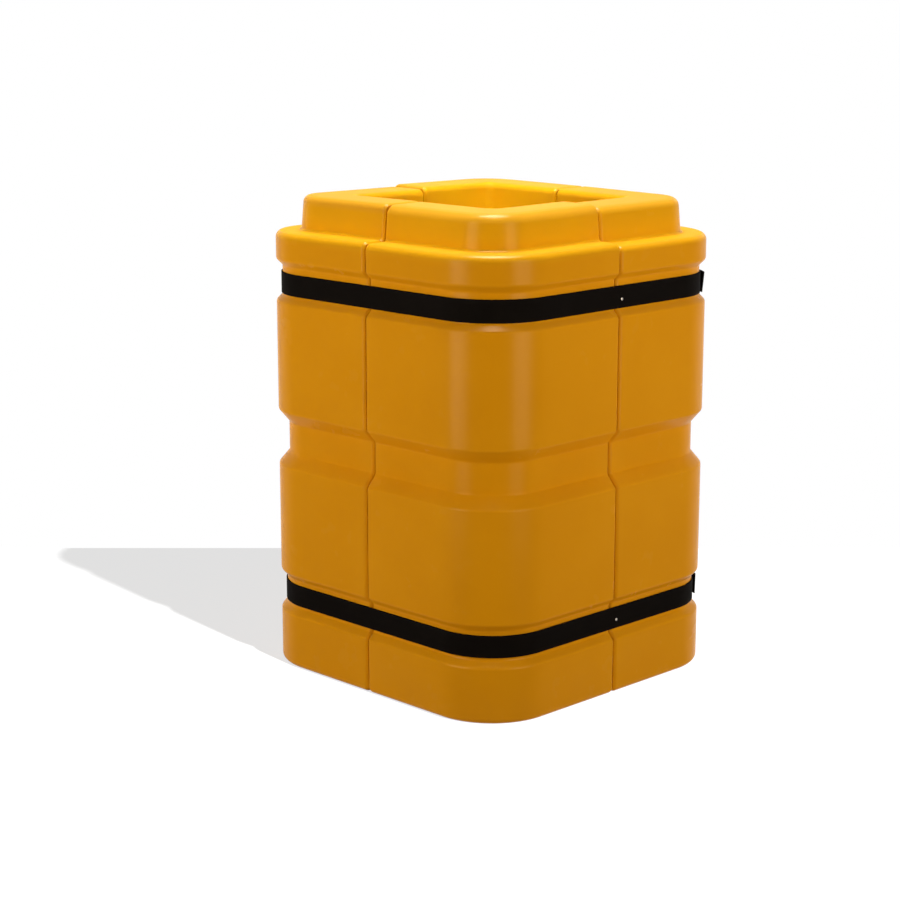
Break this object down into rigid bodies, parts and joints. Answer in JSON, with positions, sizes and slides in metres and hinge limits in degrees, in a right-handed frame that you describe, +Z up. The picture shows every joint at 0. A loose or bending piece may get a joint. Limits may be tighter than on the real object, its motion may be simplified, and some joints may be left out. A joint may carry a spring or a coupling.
{
  "type": "column protector",
  "caption": "Square round-cornered column protector of moulded quarters that slip together round a column, held shut by hook-and-loop straps lying in grooves.",
  "frame": {"origin": "centre of the base, on the floor, on the column's axis", "axes": "+Z up; the four faces look along X and Y; the corner between +X and -Y is the front of the picture"},
  "size_m": [0.6, 0.6, 0.837],
  "materials": {
    "moulded_plastic": "safety yellow rotationally moulded polyethylene, satin with a fine moulded texture",
    "webbing": "black woven webbing",
    "fastening_tape": "black hook and loop tape",
    "rivet_metal": "plain aluminium"
  },
  "bodies": {
    "front_left": {"front_left_quarter": "moulded_plastic", "upper_strap_front_left": "webbing", "lower_strap_front_left": "webbing"},
    "front_right": {"front_right_quarter": "moulded_plastic", "upper_strap_front_right": "webbing", "lower_strap_front_right": "webbing"},
    "rear_right": {"rear_right_quarter": "moulded_plastic", "upper_strap_short_end": "webbing", "upper_loop_tape": "fastening_tape", "upper_rivet": "rivet_metal", "lower_strap_short_end": "webbing", "lower_loop_tape": "fastening_tape", "lower_rivet": "rivet_metal"},
    "rear_left": {"rear_left_quarter": "moulded_plastic", "upper_strap_long_end": "webbing", "upper_hook_tape": "fastening_tape", "lower_strap_long_end": "webbing", "lower_hook_tape": "fastening_tape"}
  },
  "joints": [
    {"name": "width_slide", "type": "slide", "parent": "front_left", "child": "front_right", "axis": [1, 0, 0], "range_m": [0, 0.03]},
    {"name": "depth_slide", "type": "slide", "parent": "front_left", "child": "rear_left", "axis": [0, 1, 0], "range_m": [0, 0.03]},
    {"name": "depth_slide_right", "type": "slide", "parent": "front_right", "child": "rear_right", "axis": [0, 1, 0], "range_m": [0, 0.03]}
  ],
  "couplings": [
    {"joint": "depth_slide_right", "follows": "depth_slide", "ratio": 1}
  ]
}
